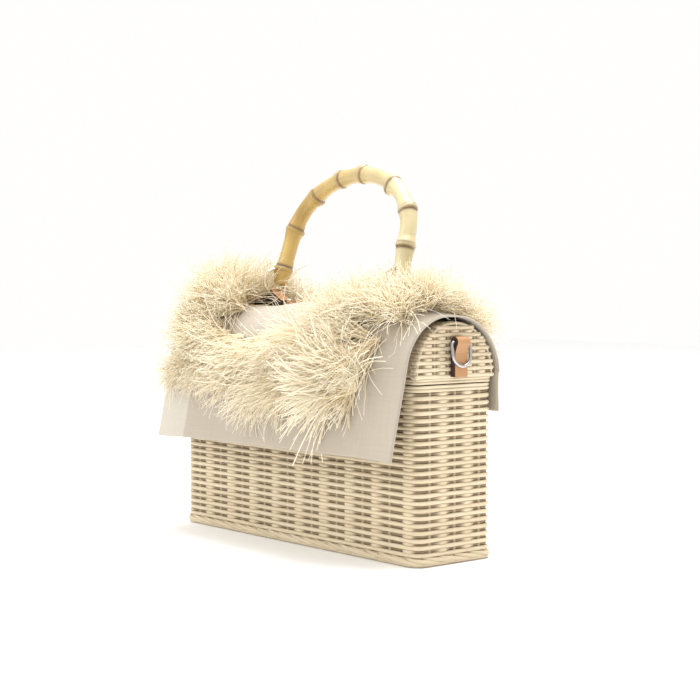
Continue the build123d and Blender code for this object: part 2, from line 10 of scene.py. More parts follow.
import bpy
import numpy as np
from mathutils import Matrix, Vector


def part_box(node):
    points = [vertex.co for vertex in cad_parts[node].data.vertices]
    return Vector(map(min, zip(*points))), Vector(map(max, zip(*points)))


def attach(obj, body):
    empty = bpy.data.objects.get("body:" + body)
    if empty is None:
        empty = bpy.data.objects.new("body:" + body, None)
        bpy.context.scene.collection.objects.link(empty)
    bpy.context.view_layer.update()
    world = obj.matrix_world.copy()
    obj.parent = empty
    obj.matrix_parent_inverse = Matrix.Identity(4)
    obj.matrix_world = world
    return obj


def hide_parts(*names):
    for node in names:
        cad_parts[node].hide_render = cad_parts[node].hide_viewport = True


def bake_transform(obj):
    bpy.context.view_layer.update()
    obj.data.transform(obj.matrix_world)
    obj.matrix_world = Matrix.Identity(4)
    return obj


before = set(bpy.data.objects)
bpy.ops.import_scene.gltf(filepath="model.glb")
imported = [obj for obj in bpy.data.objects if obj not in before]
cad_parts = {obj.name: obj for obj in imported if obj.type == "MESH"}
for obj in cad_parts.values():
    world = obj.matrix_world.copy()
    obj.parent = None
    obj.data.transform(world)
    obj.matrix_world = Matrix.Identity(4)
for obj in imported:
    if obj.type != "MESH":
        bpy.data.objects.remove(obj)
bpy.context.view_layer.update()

MM = 0.001

# Sizes read from the frame

body_low, body_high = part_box("basket_body")
half_length = body_high[0]
half_depth = body_high[1]
wall_foot = body_low[2]
wall_top = body_high[2]
lid_low, lid_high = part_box("lid_shell")
lid_foot = lid_low[2]
rim_low, rim_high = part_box("lid_rim")
hinge_height = (rim_low[2] + rim_high[2]) / 2
cover_low, cover_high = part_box("cover")
skirt_low, skirt_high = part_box("cover_back_skirt")

corner_radius = 9.0 * MM
spring_height = lid_high[2] + 0.3 * MM - half_depth


def eased(share):
    """0 to 1 with a soft start and end."""
    return share * share * (3 - 2 * share)


def added(name, data):
    """A new object in the scene."""
    thing = bpy.data.objects.new(name, data)
    bpy.context.collection.objects.link(thing)
    return thing


# Camera, fitted to some sixty points of the photograph, and studio


def add_camera():
    """The photograph's viewpoint: nearly level, from the right front."""
    camera = added("camera", bpy.data.cameras.new("camera"))
    camera.data.lens = 79.8
    camera.data.sensor_width = 36.0
    camera.location = (0.8646, -0.7008, 0.1837)
    azimuth = math.radians(50.19)
    pitch = math.radians(2.48)
    level = math.cos(pitch)
    ahead = Vector((-math.sin(azimuth) * level, math.cos(azimuth) * level, -math.sin(pitch)))
    camera.rotation_euler = ahead.to_track_quat("-Z", "Y").to_euler()
    bpy.context.scene.camera = camera


def add_light(name, place, size, power, colour=(1, 1, 1)):
    """A soft square lamp at place, turned towards the bag."""
    lamp = bpy.data.lights.new(name, "AREA")
    lamp.size = size
    lamp.energy = power
    lamp.color = colour
    holder = added(name, lamp)
    holder.location = place
    holder.rotation_euler = (Vector((0, 0, 0.1)) - Vector(place)).to_track_quat("-Z", "Y").to_euler()


def add_studio():
    """White surroundings, a pale floor and two soft lamps."""
    world = bpy.data.worlds.new("studio")
    world.use_nodes = True
    sky = world.node_tree.nodes["Background"]
    sky.inputs["Color"].default_value = (1.0, 0.995, 0.985, 1)
    sky.inputs["Strength"].default_value = 1.0
    bpy.context.scene.world = world
    add_light("key", (-0.7, -1.3, 1.1), 0.9, 8.5, (1.0, 0.985, 0.96))
    add_light("top", (0.0, 0.3, 1.5), 1.0, 35.0)
    floor_mesh = bpy.data.meshes.new("floor")
    reach = 3.0
    corners = [(-reach, -reach, 0), (reach, -reach, 0), (reach, reach, 0), (-reach, reach, 0)]
    floor_mesh.from_pydata(corners, [], [(0, 1, 2, 3)])
    floor = added("floor", floor_mesh)
    floor.location.z = -0.2 * MM
    paper = bpy.data.materials.new("paper")
    paper.use_nodes = True
    shader = paper.node_tree.nodes["Principled BSDF"]
    shader.inputs["Base Color"].default_value = (0.95, 0.95, 0.95, 1)
    shader.inputs["Roughness"].default_value = 0.9
    floor_mesh.materials.append(paper)


bpy.context.scene.view_settings.view_transform = "Standard"
add_camera()
add_studio()


# Shader arithmetic written as Python expressions


class Field:
    """One value in a material's nodes, with the usual arithmetic."""

    def __init__(self, tree, socket):
        self.tree = tree
        self.socket = socket

    def op(self, kind, *others):
        node = self.tree.nodes.new("ShaderNodeMath")
        node.operation = kind
        for place, value in enumerate((self, *others)):
            if isinstance(value, Field):
                self.tree.links.new(value.socket, node.inputs[place])
            else:
                node.inputs[place].default_value = value
        return Field(self.tree, node.outputs[0])

    def __add__(self, other):
        return self.op("ADD", other)

    def __sub__(self, other):
        return self.op("SUBTRACT", other)

    def __mul__(self, other):
        return self.op("MULTIPLY", other)

    def abs(self):
        return self.op("ABSOLUTE")

    def clamp(self):
        node = self.tree.nodes.new("ShaderNodeClamp")
        self.tree.links.new(self.socket, node.inputs[0])
        return Field(self.tree, node.outputs[0])

    def ramp(self, low, high):
        """0 at low, 1 at high, with a smooth step between."""
        node = self.tree.nodes.new("ShaderNodeMapRange")
        node.interpolation_type = "SMOOTHSTEP"
        self.tree.links.new(self.socket, node.inputs["Value"])
        node.inputs["From Min"].default_value = low
        node.inputs["From Max"].default_value = high
        return Field(self.tree, node.outputs["Result"])


class Paint:
    """A material under construction, with its Principled shader."""

    def __init__(self, name):
        self.material = bpy.data.materials.new(name)
        self.material.use_nodes = True
        self.tree = self.material.node_tree
        self.shader = self.tree.nodes["Principled BSDF"]
        self.place = self.tree.nodes.new("ShaderNodeTexCoord").outputs["Object"]
        self.parts = self.tree.nodes.new("ShaderNodeSeparateXYZ")
        self.tree.links.new(self.place, self.parts.inputs[0])

    def axis(self, letter):
        return Field(self.tree, self.parts.outputs[letter])

    def normal(self, letter):
        parts = self.tree.nodes.new("ShaderNodeSeparateXYZ")
        facing = self.tree.nodes.new("ShaderNodeNewGeometry").outputs["Normal"]
        self.tree.links.new(facing, parts.inputs[0])
        return Field(self.tree, parts.outputs[letter])

    def attribute(self, name):
        node = self.tree.nodes.new("ShaderNodeAttribute")
        node.attribute_name = name
        return Field(self.tree, node.outputs["Fac"])

    def noise(self, per_metre, stretch=(1, 1, 1), detail=2.0, rough=0.5):
        """Noise with so many spots to the metre, stretched along the axes."""
        mapping = self.tree.nodes.new("ShaderNodeMapping")
        mapping.inputs["Scale"].default_value = [1 / part for part in stretch]
        self.tree.links.new(self.place, mapping.inputs["Vector"])
        node = self.tree.nodes.new("ShaderNodeTexNoise")
        node.inputs["Scale"].default_value = per_metre
        node.inputs["Detail"].default_value = detail
        node.inputs["Roughness"].default_value = rough
        self.tree.links.new(mapping.outputs[0], node.inputs["Vector"])
        return Field(self.tree, node.outputs["Fac"])

    def colours(self, share, low, high):
        """The colour from low to high, by share."""
        node = self.tree.nodes.new("ShaderNodeMix")
        node.data_type = "RGBA"
        node.clamp_factor = True
        self.tree.links.new(share.socket, node.inputs["Factor"])
        for socket, colour in ((node.inputs[6], low), (node.inputs[7], high)):
            if isinstance(colour, tuple):
                socket.default_value = (*colour, 1)
            else:
                self.tree.links.new(colour, socket)
        return node.outputs[2]

    def colour(self, socket):
        self.tree.links.new(socket, self.shader.inputs["Base Color"])

    def rough(self, value):
        self.tree.links.new(value.socket, self.shader.inputs["Roughness"])

    def fixed(self, name, value):
        """One value for the whole surface."""
        self.shader.inputs[name].default_value = value

    def bump(self, height, metres):
        """Relief of that many metres where height goes from 0 to 1."""
        node = self.tree.nodes.new("ShaderNodeBump")
        node.inputs["Distance"].default_value = metres
        self.tree.links.new(height.socket, node.inputs["Height"])
        self.tree.links.new(node.outputs[0], self.shader.inputs["Normal"])


# Materials


def reed_paint(name, light, mid):
    """Peeled reed: each length has its own tone and long grain; painted shade turns it grey-brown
    where it lies deep or in shadow.
    """
    paint = Paint(name)
    grain = paint.noise(260.0, (9, 9, 1), 3.0, 0.6)
    cloud = paint.noise(28.0)
    tone = (paint.attribute("tone") * 0.45 + cloud * 0.35 + grain * 0.3).clamp()
    skin = paint.colours(tone, mid, light)
    # Painted shade: the corner mark mixes the reed towards grey-brown where it lies deep or in
    # shadow.
    paint.colour(paint.colours(paint.attribute("hollow"), skin, (0.29, 0.22, 0.135)))
    paint.rough(grain * 0.2 + 0.48)
    paint.fixed("Specular IOR Level", 0.35)
    paint.bump(grain, 0.00012)
    return paint.material


# Painted light: the cover's front is paler beyond this distance to the left of the middle, as if
# light shone through the cloth
BACKLIT_LINEN_FROM = 98.0 * MM


def linen_paint():
    """Undyed plain weave with slubs along and across it. The front's left end, with no basket
    behind it, is painted paler: painted light shining through the cloth."""
    paint = Paint("linen")
    warp = paint.noise(700.0, (14, 1, 1), 2.0, 0.7)
    weft = paint.noise(700.0, (1, 14, 14), 2.0, 0.7)
    cloud = paint.noise(14.0, detail=3.0)
    tone = (warp * 0.4 + weft * 0.4 + cloud * 0.35 - 0.08).clamp()
    skin = paint.colours(tone, (0.355, 0.305, 0.238), (0.475, 0.425, 0.35))
    # Painted light: the front's left end, past the basket, is mixed towards a paler colour.
    left = (paint.axis("X") * -1.0).ramp(BACKLIT_LINEN_FROM, BACKLIT_LINEN_FROM + 3 * MM)
    front = (paint.axis("Y") * -1.0).ramp(0.04, 0.052)
    paint.colour(paint.colours(left * front * 0.33, skin, (0.72, 0.70, 0.62)))
    paint.fixed("Roughness", 0.85)
    paint.fixed("Sheen Weight", 0.25)
    paint.fixed("Specular IOR Level", 0.2)
    paint.bump(warp + weft, 0.00015)
    return paint.material


def lining_paint():
    """Plain cotton lining."""
    paint = Paint("lining_cotton")
    thread = paint.noise(900.0, (6, 6, 1))
    paint.colour(paint.colours(thread, (0.60, 0.54, 0.46), (0.74, 0.69, 0.60)))
    paint.fixed("Roughness", 0.9)
    paint.bump(thread, 0.0001)
    return paint.material


def raffia_paint():
    """Natural raffia: each strand has its own cream or straw tone and a slight shine."""
    paint = Paint("raffia")
    tone = paint.attribute("tone")
    base = paint.colours(tone, (0.87, 0.68, 0.39), (0.94, 0.84, 0.62))
    tip = paint.attribute("along").ramp(0.35, 1.0)
    paint.colour(paint.colours(tip * 0.55, base, (0.98, 0.93, 0.78)))
    paint.fixed("Roughness", 0.5)
    paint.fixed("Sheen Weight", 0.3)
    paint.fixed("Specular IOR Level", 0.4)
    return paint.material


def bamboo_paint():
    """Polished bamboo root: yellow-tan, mottled, with a brown ring at each knuckle."""
    paint = Paint("bamboo_root")
    streak = paint.noise(70.0, (1, 1, 5))
    cloud = paint.noise(32.0)
    tone = (streak + cloud - 0.5).clamp()
    # Painted light and shade: the left leg is painted darker and more saturated, the right leg
    # paler, as the light falls.
    left = paint.colours(tone, (0.33, 0.195, 0.036), (0.56, 0.385, 0.11))
    right = paint.colours(tone, (0.45, 0.36, 0.16), (0.72, 0.64, 0.41))
    skin = paint.colours(paint.axis("X").ramp(-0.07, 0.07), left, right)
    ring = paint.attribute("ring") * (cloud * 0.6 + 0.75)
    paint.colour(paint.colours(ring.clamp(), skin, (0.17, 0.10, 0.045)))
    paint.rough(streak * 0.18 + 0.3)
    paint.fixed("Coat Weight", 0.15)
    paint.fixed("Coat Roughness", 0.15)
    paint.bump(cloud, 0.0004)
    return paint.material


def leather_paint():
    """Tan leather with a fine grain; the cut edges, which face along Y, are painted dark."""
    paint = Paint("tan_leather_y")
    grain = paint.noise(1500.0, (1, 1, 1), 3.0, 0.6)
    cloud = paint.noise(60.0)
    tone = (grain * 0.4 + cloud * 0.6).clamp()
    skin = paint.colours(tone, (0.31, 0.145, 0.052), (0.57, 0.30, 0.135))
    edge = paint.normal("Y").abs().ramp(0.6, 0.85)
    under = (paint.normal("Z") * -1.0).ramp(0.6, 0.85)
    paint.colour(paint.colours((edge + under).clamp(), skin, (0.035, 0.016, 0.014)))
    paint.rough(grain * 0.2 + 0.38)
    paint.bump(grain, 0.0001)
    return paint.material


def metal_paint(name, colour, roughness):
    """Plated metal with faint handling marks."""
    paint = Paint(name)
    marks = paint.noise(400.0, detail=3.0)
    darker = tuple(part * 0.82 for part in colour)
    paint.colour(paint.colours(marks, darker, colour))
    paint.fixed("Metallic", 1.0)
    paint.rough(marks * 0.12 + roughness)
    return paint.material


reed = reed_paint("woven_reed", (0.71, 0.61, 0.44), (0.56, 0.45, 0.295))
thick_reed = reed_paint("thick_reed", (0.72, 0.62, 0.45), (0.57, 0.46, 0.30))
linen = linen_paint()
lining = lining_paint()
raffia = raffia_paint()
bamboo = bamboo_paint()
strap_leather = leather_paint()
pale_metal = metal_paint("pale_gold_plate", (0.70, 0.61, 0.45), 0.22)
silver_metal = metal_paint("nickel_plate", (0.52, 0.50, 0.49), 0.2)

NODE_PAINTS = {
    "basket_base": reed,
    "lid_lining": lining,
    "body_lining": lining,
    "crown_batten": thick_reed,
    "handle_tab_left": strap_leather,
    "handle_tab_right": strap_leather,
    "end_tab_left": strap_leather,
    "end_tab_right": strap_leather,
    "tab_rivets": pale_metal,
    "handle_ring_left": pale_metal,
    "handle_ring_right": pale_metal,
    "end_ring_left": silver_metal,
    "end_ring_right": silver_metal,
}
for node, material in NODE_PAINTS.items():
    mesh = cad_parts[node].data
    mesh.materials.clear()
    mesh.materials.append(material)
    mesh.shade_smooth()


# Reeds and strands: lines of points that one node group turns into tubes


def tube_group():
    """Node group: each line of the mesh becomes a tube as wide as its 'width' says."""
    group = bpy.data.node_groups.new("lines_to_tubes", "GeometryNodeTree")
    socket = group.interface.new_socket
    inputs = {"Lines": "Geometry", "Sides": "Int", "Flatness": "Float", "Material": "Material"}
    for name, kind in inputs.items():
        socket(name, in_out="INPUT", socket_type="NodeSocket" + kind)
    socket("Tubes", in_out="OUTPUT", socket_type="NodeSocketGeometry")
    add = group.nodes.new
    link = group.links.new
    given = add("NodeGroupInput")
    result = add("NodeGroupOutput")
    curves = add("GeometryNodeMeshToCurve")
    width = add("GeometryNodeInputNamedAttribute")
    width.inputs["Name"].default_value = "width"
    circle = add("GeometryNodeCurvePrimitiveCircle")
    squeeze = add("GeometryNodeTransform")
    flat = add("ShaderNodeCombineXYZ")
    flat.inputs["X"].default_value = 1.0
    flat.inputs["Z"].default_value = 1.0
    tube = add("GeometryNodeCurveToMesh")
    tube.inputs["Fill Caps"].default_value = True
    smooth = add("GeometryNodeSetShadeSmooth")
    paint = add("GeometryNodeSetMaterial")
    link(given.outputs["Lines"], curves.inputs["Mesh"])
    link(given.outputs["Sides"], circle.inputs["Resolution"])
    link(given.outputs["Flatness"], flat.inputs["Y"])
    link(flat.outputs[0], squeeze.inputs["Scale"])
    link(circle.outputs["Curve"], squeeze.inputs["Geometry"])
    link(curves.outputs["Curve"], tube.inputs["Curve"])
    link(squeeze.outputs["Geometry"], tube.inputs["Profile Curve"])
    link(width.outputs["Attribute"], tube.inputs["Scale"])
    link(tube.outputs["Mesh"], smooth.inputs["Geometry"])
    link(smooth.outputs["Geometry"], paint.inputs["Geometry"])
    link(given.outputs["Material"], paint.inputs["Material"])
    link(paint.outputs["Geometry"], result.inputs["Tubes"])
    return group


TUBES = tube_group()


def apply_modifiers(piece):
    """Swaps the piece's mesh for what its modifiers make of it."""
    depsgraph = bpy.context.evaluated_depsgraph_get()
    finished = bpy.data.meshes.new_from_object(piece.evaluated_get(depsgraph))
    piece.modifiers.clear()
    piece.data = finished


def mesh_piece(name, vertices, edges, faces, marks):
    """A new piece. Its marks are numbers at its corners, for its material and its width."""
    mesh = bpy.data.meshes.new(name)
    mesh.from_pydata(vertices, edges, faces)
    for mark, values in marks.items():
        layer = mesh.attributes.new(mark, "FLOAT", "POINT")
        layer.data.foreach_set("value", np.asarray(values, dtype=np.float32))
    return added(name, mesh)


def lines_piece(name, lines, material, sides=8, flatness=1.0):
    """A piece of many tubes. Each line is (points, widths, tone, closed, shade), shade being how
    much painted shade darkens it.
    """
    places, edges = [], []
    marks = {"width": [], "tone": [], "along": [], "hollow": []}
    for points, widths, tone, closed, hollow in lines:
        first = sum(len(part) for part in places)
        count = len(points)
        places.append(points)
        edges += [(first + i, first + i + 1) for i in range(count - 1)]
        if closed:
            edges.append((first + count - 1, first))
        marks["width"].append(np.broadcast_to(widths, count))
        marks["tone"].append(np.full(count, tone))
        marks["along"].append(np.linspace(0, 1, count))
        marks["hollow"].append(np.broadcast_to(hollow, count))
    marks = {mark: np.concatenate(values) for mark, values in marks.items()}
    piece = mesh_piece(name, np.concatenate(places).tolist(), edges, [], marks)
    modifier = piece.modifiers.new("tubes", "NODES")
    modifier.node_group = TUBES
    given = {"Sides": sides, "Flatness": flatness, "Material": material}
    for item in TUBES.interface.items_tree:
        if item.name in given:
            modifier[item.identifier] = given[item.name]
    apply_modifiers(piece)
    return piece


def faces_piece(name, vertices, faces, material, smooth=False, **marks):
    """A piece from corners and faces, with marks at its corners for its material."""
    piece = mesh_piece(name, vertices, [], faces, marks)
    piece.data.materials.append(material)
    if smooth:
        piece.data.shade_smooth()
    return piece


# Path round the basket's wall, by distance from the left end of its front


def side_starts(reach_x, reach_y, corner):
    """Where the stretches start, and the whole length last: straight front, corner,
    straight end, corner, and so on, anticlockwise."""
    arc = corner * math.pi / 2
    front = 2 * (reach_x - corner)
    end = 2 * (reach_y - corner)
    return np.cumsum([0.0, front, arc, end, arc, front, arc, end, arc])


def round_wall(
    distance, outward, reach_x=half_length, reach_y=half_depth, corner=corner_radius
):
    """Points (x, y) moved outward from the wall, at distances along it."""
    outward = np.broadcast_to(outward, len(distance))
    starts = side_starts(reach_x, reach_y, corner)
    distance = np.mod(distance, starts[-1])
    side = np.clip(np.searchsorted(starts, distance, side="right") - 1, 0, 7)
    into = distance - starts[side]
    cx, cy = reach_x - corner, reach_y - corner
    centres = np.array([(cx, -cy), (cx, cy), (-cx, cy), (-cx, -cy)])
    quarter, bent = side // 2, side % 2
    angle = (quarter - 1) * math.pi / 2 + bent * into / corner
    facing = np.column_stack([np.cos(angle), np.sin(angle)])
    ahead = np.column_stack([-facing[:, 1], facing[:, 0]])
    points = centres[quarter - 1 + bent] + ahead * ((1 - bent) * into)[:, None]
    return points + facing * (corner + outward)[:, None]


def stakes_round_wall():
    """Distances of the stakes along the wall, and of the columns halfway between them."""
    front_pitch, end_pitch, shift = 27.4 * MM, 22.2 * MM, -5.4 * MM
    starts = side_starts(half_length, half_depth, corner_radius)
    middles = [(starts[i] + starts[i + 1]) / 2 for i in (0, 2, 4, 6)]
    stakes = []
    for middle, pitch, count, moved in zip(
        middles, (front_pitch, end_pitch) * 2, (9, 3) * 2, (shift, 0, -shift, 0)
    ):
        stakes += [middle + moved + (i - (count - 1) / 2) * pitch for i in range(count)]
    stakes = np.array(sorted(stakes))
    following = np.append(stakes[1:], stakes[0] + starts[-1])
    return stakes, np.mod((stakes + following) / 2, starts[-1]), starts[-1]


def nearest(distance, places, total):
    """Distance along the wall to the nearest of the places."""
    gap = np.abs(distance[:, None] - places[None, :])
    return np.min(np.minimum(gap, total - gap), axis=1)


# Woven walls of the box

random = np.random.default_rng(7)
# Radii of the reeds: outside a stake, behind a stake, and where both kinds of row meet
REED = 1.52 * MM
DIVING_REED = 1.15 * MM
COLUMN_REED = 1.34 * MM
ROW_PITCH = 2.43 * MM
DIVE = 2.0 * MM
ROW_POINTS = 210
BACKING_DEPTH = 4.2 * MM
stakes, columns, wall_length = stakes_round_wall()
row_count = round((wall_top - wall_foot) / ROW_PITCH)
row_step = (wall_top - wall_foot) / row_count


def wavy(distance, length, seed, size):
    """A slow random wander, the same at both ends of a closed length."""
    rng = np.random.default_rng(seed)
    total = np.zeros_like(distance)
    for turns in range(2, 14):
        angle = 2 * math.pi * turns * distance / length
        total += math.sqrt(1 / turns) * np.sin(angle + rng.uniform(0, 2 * math.pi))
    return total * size


def wall_row(row):
    """One reed right round the box: outside the stakes, or diving behind each of them."""
    distance = np.linspace(0, wall_length, ROW_POINTS, endpoint=False)
    to_column = nearest(distance, columns, wall_length)
    out = eased(np.clip(1 - (to_column - 2.6 * MM) / (3.4 * MM), 0, 1))
    if row % 2:
        depth = -DIVE * (1 - out) - 0.1 * MM
        width = DIVING_REED + (COLUMN_REED - DIVING_REED) * out
    else:
        depth = -0.2 * MM * out
        width = REED + (COLUMN_REED - REED) * out
    points = round_wall(distance, depth - width + 0.1 * MM)
    height = wall_foot + (row + 0.5) * row_step + wavy(distance, wall_length, row, 0.07 * MM)
    line = np.column_stack([points, height])
    widths = width * (1 + wavy(distance, wall_length, 90 + row, 0.012))
    # Painted shade on the diving rows, where they pass behind a stake.
    return line, widths, random.uniform(0, 1), True, (1 - out) * (row % 2)


def wall_stake(distance):
    """One upright reed, seen where the diving rows leave it bare."""
    places = round_wall(np.full(12, distance), -2.35 * MM)
    line = np.column_stack([places, np.linspace(wall_foot - 1 * MM, wall_top, 12)])
    # Painted shade: the stake is darkened where it lies deep behind the rows.
    return line, 1.15 * MM, random.uniform(0, 1), False, 0.6


even, odd = range(0, row_count, 2), range(1, row_count, 2)
outer_rows = lines_piece("woven_rows_outer", [wall_row(row) for row in even], reed)
inner_rows = lines_piece("woven_rows_inner", [wall_row(row) for row in odd], reed)
uprights = lines_piece("wall_stakes", [wall_stake(place) for place in stakes], reed)


def wall_backing():
    """The rows' inner sides, pressed together: what shows from inside and in the gaps, painted fully
    dark as shade.
    """
    distance = np.arange(0, wall_length, 4 * MM)
    points = round_wall(distance, -BACKING_DEPTH)
    count = len(points)
    vertices = [(x, y, z) for z in (wall_foot, wall_top) for x, y in points]
    faces = [(i, (i + 1) % count, count + (i + 1) % count, count + i) for i in range(count)]
    return faces_piece("wall_backing", vertices, faces, reed, hollow=np.ones(2 * count))


backing = wall_backing()
for piece in (outer_rows, inner_rows, uprights, backing):
    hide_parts("basket_body")
    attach(piece, "basket")


# Rims at the mouth: thicker reeds laid round


def ring_line(height, radius, reach_x, reach_y, corner, tone, wander=0.0, seed=0):
    """A closed reed round the mouth."""
    total = side_starts(reach_x, reach_y, corner)[-1]
    distance = np.arange(0, total, 3 * MM)
    points = round_wall(distance, 0.0, reach_x, reach_y, corner)
    level = height + wavy(distance, total, seed, wander)
    return np.column_stack([points, level]), radius, tone, True, 0.0


def rim_lines(height, radius, reach_x, reach_y, corner, core):
    """Two reeds one above the other, as wide as the weave's, with a thicker one inside."""
    return [
        ring_line(height - radius, radius, reach_x, reach_y, corner, 0.55, 0.08 * MM, 31),
        ring_line(height + radius, radius, reach_x, reach_y, corner, 0.8, 0.08 * MM, 32),
        ring_line(height, core, reach_x - core, reach_y - core, corner - core / 2, 0.4),
    ]


BODY_RIM_RADIUS = 2.3 * MM
body_rim_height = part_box("body_rim")[1][2] - BODY_RIM_RADIUS
body_rim_lines = rim_lines(
    height=body_rim_height,
    radius=1.12 * MM,
    reach_x=half_length - 1.2 * MM,
    reach_y=half_depth - 1.2 * MM,
    corner=7.6 * MM,
    core=1.5 * MM,
)
body_rim = lines_piece("mouth_rim", body_rim_lines, thick_reed)
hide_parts("body_rim")
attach(body_rim, "basket")

lid_rim_lines = rim_lines(
    height=hinge_height,
    radius=0.94 * MM,
    reach_x=rim_high[0] - 1.0 * MM,
    reach_y=rim_high[1] - 1.0 * MM,
    corner=4.4 * MM,
    core=1.3 * MM,
)
lid_rim = lines_piece("lid_rim_reed", lid_rim_lines, thick_reed)
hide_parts("lid_rim")
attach(lid_rim, "lid")


# Plaited border round the foot: strokes that slant over one another

STROKES = 48
# Length of a stroke in steps from one stroke to the next
STROKE_LENGTH = 2.35


def border_strokes():
    """Short reeds lying along the foot, each passing over the next and tucking under."""
    reach_x = half_length - 0.6 * MM
    reach_y = half_depth - 0.6 * MM
    corner = corner_radius - 0.6 * MM
    total = side_starts(reach_x, reach_y, corner)[-1]
    lines = []
    for i in range(STROKES):
        start = total * i / STROKES
        length = STROKE_LENGTH * total / STROKES
        share = np.linspace(0, 1, 15)
        distance = start + length * share
        swell = np.sin(math.pi * share)
        outward = -0.9 * MM + 1.55 * MM * swell**0.7
        height = (5.6 - 4.2 * share) * MM + 0.35 * MM * math.sin(2.1 * i) * swell
        points = round_wall(distance, outward, reach_x, reach_y, corner)
        radius = 1.35 * MM * (0.75 + 0.25 * swell)
        # Painted shade towards each stroke's ends, where it tucks under the next.
        hollow = (1 - swell) ** 3 * 0.8
        line = np.column_stack([points, height])
        lines.append((line, radius, random.uniform(0, 1), False, hollow))
    return lines


border_lines = border_strokes()
for height, radius, inset, corner, tone in (
    (1.5 * MM, 1.5 * MM, 1.2 * MM, corner_radius - 1 * MM, 0.5),
    (4.2 * MM, 1.7 * MM, 2.2 * MM, corner_radius - 2 * MM, 0.3),
):
    border_lines.append(
        ring_line(height, radius, half_length - inset, half_depth - inset, corner, tone)
    )
border = lines_piece("foot_plait", border_lines, thick_reed)
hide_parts("foot_border")
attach(border, "basket")


# Lid: reeds along the crown, and a woven panel in each end

LOOP_HALF = 3.5 * MM
LOOP_NOTCH = 4.9 * MM
CROWN_STEPS = 48


def loop_middles():
    """Where along X the three hinge loops sit; the lowest back reed is cut there."""
    low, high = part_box("hinge_loops")
    return (low[0] + LOOP_HALF, 0.0, high[0] - LOOP_HALF)


def crown_reeds():
    """Straight reeds side by side along the half-round crown, each in its own tone."""
    lines = []
    reach = half_length - 5.5 * MM
    radius = half_depth - 0.3 * MM - REED
    for i in range(CROWN_STEPS + 1):
        angle = math.pi * i / CROWN_STEPS
        y, z = radius * math.cos(angle), spring_height + radius * math.sin(angle)
        cuts = [-reach, reach]
        if i == 0:
            notch = (-LOOP_NOTCH, LOOP_NOTCH)
            cuts[1:1] = [middle + edge for middle in loop_middles() for edge in notch]
        tone = random.uniform(0, 1)
        for start, stop in zip(cuts[::2], cuts[1::2]):
            x = np.linspace(start, stop, max(4, int((stop - start) / (6.5 * MM))))
            level = z + 0.12 * MM * np.sin(x * 90 + i)
            line = np.column_stack([x, np.full(len(x), y), level])
            # A little painted shade on the crown reeds, which lie under the cover.
            lines.append((line, REED, tone, False, 0.1))
    return lines


def wrapped_end(x, y, z):
    """Where a row's end goes on from the end panel, round the arch's edge and along it."""
    turn = np.linspace(0.3, math.pi / 2, 4)
    radius = 1.2 * MM
    along = np.append(radius * (1 - np.cos(turn)), [radius + 1.5 * MM, radius + 3.0 * MM])
    lift = np.append(0.4 * MM * np.sin(turn), [0.4 * MM, 0.4 * MM])
    rise = max(0.0, z - spring_height)
    length = max(math.hypot(y, rise), 1 * MM)
    return np.column_stack([x - along, y + lift * y / length, z + lift * rise / length])


END_ROW_PITCH = 2.25 * MM
END_STAKE_PITCH = 12.0 * MM


def end_panel_rows(side):
    """Rows across one lid end, cut to the arch, with the same two ways past the stakes."""
    columns_at = np.array([-24, -12, 0, 12, 24]) * MM
    lines = []
    for row in range(int((lid_high[2] - 1.5 * MM - lid_foot) / END_ROW_PITCH)):
        z = lid_foot + (row + 0.5) * END_ROW_PITCH
        rise = max(0.0, z - spring_height)
        reach = math.sqrt(max(0.0, (half_depth - 0.8 * MM) ** 2 - rise**2)) - 0.4 * MM
        if reach < 4 * MM:
            continue
        y = np.linspace(-reach, reach, max(8, int(reach / (0.7 * MM))))
        near = np.min(np.abs(y[:, None] - columns_at[None, :]), axis=1)
        out = eased(np.clip(1 - (near - 1.5 * MM) / (2.6 * MM), 0, 1))
        if row % 2:
            depth = -1.8 * MM * (1 - out)
            width = 0.92 * DIVING_REED
        else:
            depth = -0.4 * MM * out
            width = 0.92 * REED
        x = half_length + depth - width
        level = z + 0.1 * MM * np.sin(y * 160 + row * 1.7)
        line = np.column_stack([x, y, level])
        start, end = wrapped_end(*line[0]), wrapped_end(*line[-1])
        line = np.concatenate([start[::-1], line, end]) * (side, 1, 1)
        # Painted shade on the rows where they dive behind a stake.
        hollow = np.pad((1 - out) * (row % 2), len(end))
        lines.append((line, width, random.uniform(0, 1), False, hollow))
    for y in columns_at[:-1] + END_STAKE_PITCH / 2:
        top = spring_height + math.sqrt((half_depth - 2 * MM) ** 2 - y**2) - 1 * MM
        z = np.linspace(lid_foot, top, 10)
        x = np.full(10, side * (half_length - 2.3 * MM))
        # Painted shade on the stakes, which lie deep behind the rows.
        lines.append((np.column_stack([x, np.full(10, y), z]), 1.0 * MM, 0.5, False, 0.6))
    return lines


def arch_backing(side):
    """Corners of the panel that closes one lid end behind its rows."""
    radius = half_depth - 2 * MM
    angles = np.linspace(math.pi, 0, 25)
    arch = [(radius * math.cos(a), spring_height + radius * math.sin(a)) for a in angles]
    x = side * (half_length - 3.6 * MM)
    return [(x, y, z) for y, z in [(-radius, lid_foot), *arch, (radius, lid_foot)]]


def lid_backing():
    """The crown's and end panels' inner skin, seen only between reeds and painted nearly all shade.
    """
    left, right = arch_backing(-1), arch_backing(1)
    count = len(left)
    faces = [tuple(range(count)), tuple(range(count, 2 * count))]
    faces += [(i, i + 1, count + i + 1, count + i) for i in range(count - 1)]
    return faces_piece("lid_backing", left + right, faces, reed, hollow=np.full(2 * count, 0.9))


lid_pieces = [
    lines_piece("crown_reeds", crown_reeds(), reed, sides=6),
    lines_piece("end_panel_left", end_panel_rows(-1), reed),
    lines_piece("end_panel_right", end_panel_rows(1), reed),
    lid_backing(),
]
for piece in lid_pieces:
    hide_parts("lid_shell")
    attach(piece, "lid")


